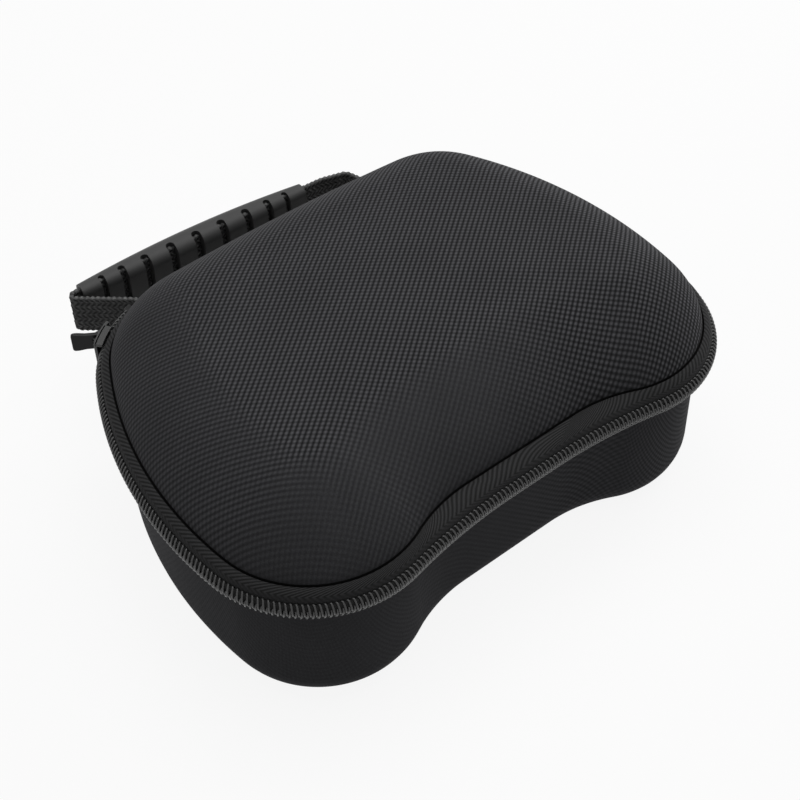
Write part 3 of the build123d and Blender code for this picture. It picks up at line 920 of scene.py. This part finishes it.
def handle_webbing():
    """The webbing, ribbed on both faces, with a wavy edge."""
    path = rounded_route(web_route(), WEB_BENDS, WEB_STEP)
    along, place = [0.0], path[0][0]
    for here, way in path[1:]:
        along.append(along[-1] + (here - place).length)
        place = here
    count = WEB_RIBS * WEB_RIB_STEPS
    sections = []
    for (here, way), at in zip(path, along):
        normal = Vector((way.y, -way.x))
        stitch = 2 * math.pi * at / WEB_STITCH
        section = []
        for face in (1, -1):
            for k in range(count + 1):
                share = k / count if face > 0 else 1 - k / count
                rib = abs(math.sin(math.pi * share * WEB_RIBS)) ** 0.7
                pull = 0.75 + 0.25 * math.sin(stitch + share * WEB_RIBS * math.pi)
                half = WEB_T / 2 - WEB_RIB_H + WEB_RIB_H * rib * pull
                edge = WEB_EDGE * math.sin(stitch) * (2 * share - 1) ** 3
                side = here + normal * (face * half)
                section.append((side.x, side.y, WEB_Z + WEB_W * (share - 0.5) + edge))
        sections.append(section)
    across = [WEB_W * k / count for k in range(count + 1)]
    across += [WEB_W + value for value in across]

    def uv(i, k):
        return (along[min(i, len(along) - 1)], across[k % len(across)])

    obj = make_rings("handle_strap", sections, uv, (WEBBING,))
    belong(obj, "base", "handle_webbing")


# Slider
def bent_block(radii, turns, heights, steps=10):
    """Points and faces of a block bent round the left back corner."""
    centre = (-CORNER[0], CORNER[1])
    points = []
    for k in range(steps + 1):
        angle = turns[0] + (turns[1] - turns[0]) * k / steps
        for r, h in ((0, 0), (1, 0), (1, 1), (0, 1)):
            points.append((*spot(centre, radii[r], angle), ZIP_Z + heights[h]))
    return points, tube_faces(steps + 1, 4) + tube_ends(steps + 1, 4)


def slider_arch():
    """Points and faces of the arch that the tab hangs on."""
    foot = PLATE_R[1] - 0.4
    corners = [(-ARCH_HALF, foot), (-ARCH_HALF, ARCH_TOP), (ARCH_HALF, ARCH_TOP), (ARCH_HALF, foot)]
    path = rounded_route(corners, ARCH_BENDS, 0.35)
    centre, turn = (-CORNER[0], CORNER[1]), math.radians(SLIDER_AT)
    points = []
    for here, way in path:
        side = Vector((-way.y, way.x)) * (ARCH_T / 2)
        for sign, half in ((1, -1), (1, 1), (-1, 1), (-1, -1)):
            along, radius = here + side * sign
            points.append((
                centre[0] + radius * math.cos(turn) - along * math.sin(turn),
                centre[1] + radius * math.sin(turn) + along * math.cos(turn),
                ZIP_Z + half * ARCH_W / 2,
            ))
    return points, tube_faces(len(path), 4) + tube_ends(len(path), 4)


def slider():
    """The cast slider: two plates, rolled edges over the tapes, the wedge and the arch."""
    start, end = SLIDER_TURN
    curl_r = (CURL_R, PLATE_R[1] - 0.3)
    wedge_r = (BACK_PLATE_R[1] - 0.4, PLATE_R[0] + 0.4)
    blocks = [
        bent_block(PLATE_R, (start, end), (-PLATE_HALF, PLATE_HALF)),
        bent_block(curl_r, (CURL_TURN, end), (CURL_Z, PLATE_HALF)),
        bent_block(curl_r, (CURL_TURN, end), (-PLATE_HALF, -CURL_Z)),
        bent_block(BACK_PLATE_R, (start, end), (-BACK_HALF, BACK_HALF)),
        bent_block(wedge_r, (start, WEDGE_TURN), (-WEDGE_HALF, WEDGE_HALF)),
        slider_arch(),
    ]
    points, faces = [], []
    for block_points, block_faces in blocks:
        shift = len(points)
        points += block_points
        faces += [tuple(k + shift for k in face) for face in block_faces]
    obj = make_object("zip_slider_body", points, faces, None, None, (SLIDER,), 30.0)
    round_edges(obj, SLIDER_ROUND, 3)
    belong(obj, "slider", "zip_slider")


# Pull tab
def rounded_loop(corners, radius, steps=5):
    """A closed loop of points with its corners rounded, given counterclockwise."""
    found = []
    for k, corner in enumerate(corners):
        here = Vector(corner)
        before, after = Vector(corners[k - 1]), Vector(corners[(k + 1) % len(corners)])
        into, out = (here - before).normalized(), (after - here).normalized()
        turn = math.acos(max(-1.0, min(1.0, into.dot(out))))
        reach = radius * math.tan(turn / 2)
        start, end = here - into * reach, here + out * reach
        for step in range(steps + 1):
            share = step / steps
            found.append(start.lerp(here, share).lerp(here.lerp(end, share), share))
    return found


def both_halves(half):
    """A closed outline from its upper half."""
    return [(x, -y) for x, y in half] + half[::-1]


def tab_points(loop, shrink, depth):
    """A loop moved towards its own middle by a little, at a depth in the tab."""
    middle = sum(loop, Vector((0.0, 0.0))) / len(loop)
    size = max((point - middle).length for point in loop)
    return [(*(middle + (point - middle) * (1 - shrink / size)), depth) for point in loop]


def pull_tab():
    """The flat cast tab with its eye, hung on the slider's arch."""
    half_bar = TAB_BAR / 2
    outer_half = [
        (-half_bar, TAB_NECK_W / 2),
        (TAB_NECK, TAB_NECK_W / 2),
        (TAB_L - TAB_SHOULDER, TAB_W / 2),
        (TAB_L, TAB_W / 2),
    ]
    length, width = TAB_EYE
    eye_half = [(half_bar, width / 2), (half_bar + length, width / 2)]
    outer = rounded_loop(both_halves(outer_half), TAB_ROUND)
    eye = rounded_loop(both_halves(eye_half), EYE_ROUND)
    count = len(outer)
    lead = [min(range(len(eye)), key=lambda j: (eye[j] - point).length) for point in outer]
    rim = TAB_T / 2 - TAB_EDGE
    sides = ((-TAB_T / 2, TAB_EDGE), (-rim, 0.0), (rim, 0.0), (TAB_T / 2, TAB_EDGE))
    loops = [tab_points(outer, shrink, depth) for depth, shrink in sides]
    for depth, shrink in sides[::-1]:
        around = tab_points(eye, -shrink, depth)
        loops.append([around[j] for j in lead])
    place = spot((-CORNER[0], CORNER[1]), TAB_BAR_R, SLIDER_AT)
    turn = math.radians(SLIDER_AT + TAB_LEAN)
    points = []
    for loop in loops:
        for along, up, depth in loop:
            points.append((
                place[0] + along * math.cos(turn) + depth * math.sin(turn),
                place[1] + along * math.sin(turn) - depth * math.cos(turn),
                ZIP_Z - TAB_DROP + up,
            ))
    faces = []
    for i in range(len(loops)):
        j = (i + 1) % len(loops)
        for k in range(count):
            n = (k + 1) % count
            faces.append((i * count + k, i * count + n, j * count + n, j * count + k))
    obj = make_object("zip_tab", points, faces, None, None, (METAL,), 30.0)
    weld = obj.modifiers.new("weld", "WELD")
    weld.merge_threshold = 1e-6
    belong(obj, "tab", "pull_tab")


# Cloth at the hinge and round the rims
def back_line(inset, x):
    """Y of the outline's back and corners at an inset from the zip line."""
    flat_end = (BACK_R - inset) * math.cos(math.radians(zip_ring(inset)[3][3]))
    if abs(x) <= flat_end:
        return back_y(inset, x)
    return CORNER[1] + math.sqrt((CORNER_R - inset) ** 2 - (abs(x) - CORNER[0]) ** 2)


def hinge_strip(name, node, strip):
    """A strip of cloth across the hinge, with rolled edges."""
    inset, half, cut = strip["inset"], strip["half"], strip["cut"]
    low, high = (ZIP_Z + rise for rise in strip["rise"])
    steps, columns = 14, int(half)
    sections = []
    for i in range(2 * columns + 1):
        x = half * (i / columns - 1)
        section = []
        for face in (0, 1):
            for k in range(steps + 1):
                share = k / steps if face == 0 else 1 - k / steps
                roll = STRIP_ROLL * min(1.0, min(share, 1 - share) * steps / 2)
                depth = inset + (roll if face == 0 else STRIP_T - roll)
                section.append((x, back_line(depth, x), low + (high - low) * share))
        sections.append(section)
    across = [(high - low) * k / steps for k in range(steps + 1)]
    across += [high - low + value for value in across]

    def uv(i, k):
        return (half * i / columns, across[k % len(across)])

    obj = make_rings(name, sections, uv, (SPINE_CLOTH,))
    start, end = (0.0, 0.0, (ZIP_Z - HINGE_BEND) * MM), (0.0, 0.0, (ZIP_Z + HINGE_BEND) * MM)
    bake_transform(obj)
    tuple(start)
    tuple(end)
    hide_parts(node)
    return obj


def rim_binding(name, node, body, sign):
    """A cloth binding sewn over the edge of the lining, rounded towards the inside."""
    low, high = BINDING_RISE
    rows = []
    for k in range(9):
        turn = math.pi * k / 8
        up = (low + high) / 2 - (high - low) / 2 * math.cos(turn)
        rows.append(level(shell_ring(BINDING_IN + BINDING_T * math.sin(turn)), ZIP_Z + sign * up))
    if sign > 0:
        rows = rows[::-1]

    def uv(i, k):
        return (AROUND[k], i * BINDING_ROW)

    obj = make_rings(name, rows, uv, (BINDING,), closed=True)
    belong(obj, body, node)


# Net pocket
def front_indices(inset, back):
    """Ring points in front of a line across the case, from its left end round to its right end."""
    ring = ring_points(shell_ring(inset))
    start = max(range(len(ring)), key=lambda k: ring[k][1])
    order = [(start + k) % len(ring) for k in range(len(ring))]
    return [k for k in order if ring[k][1] <= back]


def pocket_band():
    """The band that holds the net to the lid's wall."""
    low, high = POCKET_BAND_Z
    back = POCKET_MOUTH + HEM_W
    rings = []
    for k in range(7):
        turn = math.pi * k / 6
        inset = POCKET_BAND_IN + POCKET_BAND_T * math.sin(turn)
        z = (low + high) / 2 - (high - low) / 2 * math.cos(turn)
        rings.append(level(shell_ring(inset), z))
    sections = [[ring[k] for ring in rings] for k in front_indices(POCKET_IN, back)]

    def uv(i, k):
        return (i * RING_STEP, k * POCKET_BAND_ROW)

    obj = make_rings("net_band", sections, uv, (BINDING,))
    belong(obj, "lid", "pocket_band")
    return obj


def wall_x(inset, y):
    """Half the width inside the wall at a place along the case."""
    ring = [(x, here) for x, here, out in ring_points(shell_ring(inset)) if x > 0]
    return min(ring, key=lambda point: abs(point[1] - y) - (1000 if point[0] > LOBE[0] else 0))[0]


def pocket_hem():
    """The elastic hem of the pocket's mouth, gathered into small ruffles."""
    columns, steps = HEM_COLUMNS, HEM_STEPS
    ends = [wall_x(POCKET_IN, POCKET_MOUTH + HEM_W * k / steps) - 0.4 for k in range(steps + 1)]
    sections = []
    for i in range(columns + 1):
        share = 2 * i / columns - 1
        section = []
        for face in (1, -1):
            for k in range(steps + 1):
                j = k if face > 0 else steps - k
                edge = min(1.0, min(j, steps - j) / 2)
                sewn = 0.55 if j in HEM_SEAMS else 1.0
                gather = HEM_RUFFLE * math.sin(i * 2.1 + 0.6 * math.sin(i * 0.37))
                ruffle = gather * (0.4 + 0.6 * abs(j - steps / 2) / (steps / 2))
                half = HEM_T / 2 * (0.45 + 0.3 * edge) * sewn
                y = POCKET_MOUTH + HEM_W * j / steps
                section.append((share * ends[j], y, POCKET_Z + face * half + ruffle))
        sections.append(section)

    def uv(i, k):
        return (ends[0] * 2 * i / columns, k * HEM_W / steps)

    obj = make_rings("pocket_elastic", sections, uv, (ELASTIC,))
    belong(obj, "lid", "pocket_hem")
    return obj


def inside(x, y, ring):
    """True where a point lies within a closed ring of points."""
    hit = False
    for (ax, ay, a), (bx, by, b) in zip(ring, ring[1:] + ring[:1]):
        if (ay > y) != (by > y) and x < (bx - ax) * (y - ay) / (by - ay) + ax:
            hit = not hit
    return hit


def net_pocket(with_pieces):
    """A knitted net of small six-sided openings, slack between the wall and the hem."""
    ring = ring_points(shell_ring(POCKET_IN + NET_CELL * 0.5))
    reach_x, reach_y = LOBE[0] + LOBE_R, ZIP_WAIST_Y - LOBE_R
    wide, deep = NET_CELL * math.sqrt(3), NET_CELL * 1.5
    corners, faces, index = [], [], {}
    row, y = 0, POCKET_MOUTH + 1.0
    while y > reach_y:
        column = -int(reach_x / wide) - 1
        while column * wide < reach_x:
            x = (column + 0.5 * (row % 2)) * wide
            if inside(x, y, ring):
                face = []
                for k in range(6):
                    corner = spot((x, y), NET_CELL, 30 + 60 * k)
                    key = (round(corner[0] * 50), round(corner[1] * 50))
                    if key not in index:
                        index[key] = len(corners)
                        corners.append(corner)
                    face.append(index[key])
                faces.append(face)
            column += 1
        row += 1
        y -= deep
    points = []
    for x, y in corners:
        slack = max(0.0, 1 - (x / 72.0) ** 2) * max(0.0, 1 - ((y + 16.0) / 38.0) ** 2)
        points.append((x, y, POCKET_Z - NET_SAG * slack))
    uvs = [[points[k][:2] for k in face] for face in faces]
    obj = make_object("pocket_net", points, faces, uvs, None, (NET,), 80.0)
    yarn = obj.modifiers.new("yarn", "WIREFRAME")
    yarn.thickness = NET_YARN * MM
    yarn.use_even_offset = False
    belong(obj, "lid", "mesh_pocket")
    flat = (2 * wall_x(POCKET_IN, 0.0) * MM, NET_DEEP * MM)


# Solids that keep their shape
def dress(material, *nodes):
    for node in nodes:
        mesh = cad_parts[node].data
        mesh.materials.clear()
        mesh.materials.append(material)


# Camera, light and floor
def camera():
    bearing, rise = math.radians(CAMERA_BEARING), math.radians(CAMERA_RISE)
    flat = math.cos(rise)
    back = Vector((math.sin(bearing) * flat, -math.cos(bearing) * flat, math.sin(rise)))
    data = bpy.data.cameras.new("camera")
    data.lens = CAMERA_LENS
    data.sensor_width = 36.0
    data.shift_x, data.shift_y = CAMERA_SHIFT
    data.clip_start, data.clip_end = 0.01, 20.0
    obj = add_object("camera", data)
    turn = (-back).to_track_quat("-Z", "Y").to_matrix().to_4x4()
    roll = Matrix.Rotation(math.radians(CAMERA_ROLL), 4, "Z")
    place = (Vector(CAMERA_AIM) + back * CAMERA_DISTANCE) * MM
    obj.matrix_world = Matrix.Translation(place) @ turn @ roll
    bpy.context.scene.camera = obj


def softbox(name, place, size, power):
    """A rectangular lamp that points at the case."""
    data = bpy.data.lights.new(name, "AREA")
    data.shape = "RECTANGLE"
    data.size, data.size_y = size
    data.energy = power
    turn = (Vector(LAMP_AIM) - Vector(place)).to_track_quat("-Z", "Y").to_matrix().to_4x4()
    add_object(name, data).matrix_world = Matrix.Translation(Vector(place)) @ turn


def seen_directly(tree, rays):
    """1 for rays from the camera, gloss and glass, 0 for the light that falls on things."""
    total = rays.outputs["Is Camera Ray"]
    for name in ("Is Glossy Ray", "Is Transmission Ray"):
        node = tree.nodes.new("ShaderNodeMath")
        node.operation = "MAXIMUM"
        tree.links.new(total, node.inputs[0])
        tree.links.new(rays.outputs[name], node.inputs[1])
        total = node.outputs[0]
    return total


def studio():
    """Soft light from above and a dim room, behind a white that only the camera and gloss see."""
    world = bpy.data.worlds.new("studio")
    bpy.context.scene.world = world
    world.use_nodes = True
    tree = world.node_tree
    room = tree.nodes["Background"]
    room.inputs[0].default_value = WHITE
    room.inputs[1].default_value = ROOM_LIGHT
    shown = tree.nodes.new("ShaderNodeBackground")
    shown.inputs[0].default_value = WHITE
    shown.inputs[1].default_value = 1.0
    rays = tree.nodes.new("ShaderNodeLightPath")
    choose = tree.nodes.new("ShaderNodeMixShader")
    tree.links.new(seen_directly(tree, rays), choose.inputs[0])
    tree.links.new(room.outputs[0], choose.inputs[1])
    tree.links.new(shown.outputs[0], choose.inputs[2])
    tree.links.new(choose.outputs[0], tree.nodes["World Output"].inputs[0])
    softbox("key", *KEY_LAMP)
    softbox("side", *SIDE_LAMP)


def floor():
    size = FLOOR_SIZE
    corners = [(-size, -size, 0.0), (size, -size, 0.0), (size, size, 0.0), (-size, size, 0.0)]
    m = Nodes("white_floor")
    m.finish((0.85, 0.85, 0.85, 1.0), 0.9, specular=0.1)
    glow = m.add("ShaderNodeEmission")
    glow.inputs[0].default_value = WHITE
    glow.inputs[1].default_value = 1.0
    seen = m.add("ShaderNodeMixShader")
    rays = m.add("ShaderNodeLightPath")
    share = m.math("MULTIPLY", seen_directly(m.tree, rays), FLOOR_GLOW)
    m.link(share, seen.inputs[0])
    m.link(m.shader.outputs[0], seen.inputs[1])
    m.link(glow.outputs[0], seen.inputs[2])
    m.link(seen.outputs[0], m.tree.nodes["Material Output"].inputs[0])
    obj = make_object("floor", corners, [(0, 1, 2, 3)], materials=(m.material,))


def main():
    lid_cover()
    base_cover()
    zip_tape("lid_tape", "lid_zip_tape", "lid", LID_BAND_H, LID_BAND_ROUND, 1, GROOVE_W)
    zip_tape("base_tape", "base_zip_tape", "base", BASE_BAND_H, BASE_BAND_ROUND, -1, BASE_GROOVE_W)
    coil("lid_coil", "lid_zip_coil", "lid", 1, TOOTH_PITCH * 0.75)
    coil("base_coil", "base_zip_coil", "base", -1, TOOTH_PITCH * 0.25)
    stops = ("base_end_stop", "lid_end_stop", "zip_bottom_stop")
    dress(METAL, *stops, "handle_rivets", "rivet_washers")
    for node in stops:
        round_edges(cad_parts[node], STOP_ROUND, 2)
    slider()
    pull_tab()
    dress(GRIP, "handle_grip")
    handle_webbing()
    spine = hinge_strip("spine_cover", "spine_strip", SPINE)
    lining = hinge_strip("hinge_lining", "spine_lining", HINGE_LINING)
    rim_binding("base_binding", "base_rim_binding", "base", -1)
    rim_binding("lid_binding", "lid_rim_binding", "lid", 1)
    net_pocket([pocket_band(), pocket_hem()])
    camera()
    studio()
    floor()
    bpy.context.scene.view_settings.view_transform = "Standard"


main()
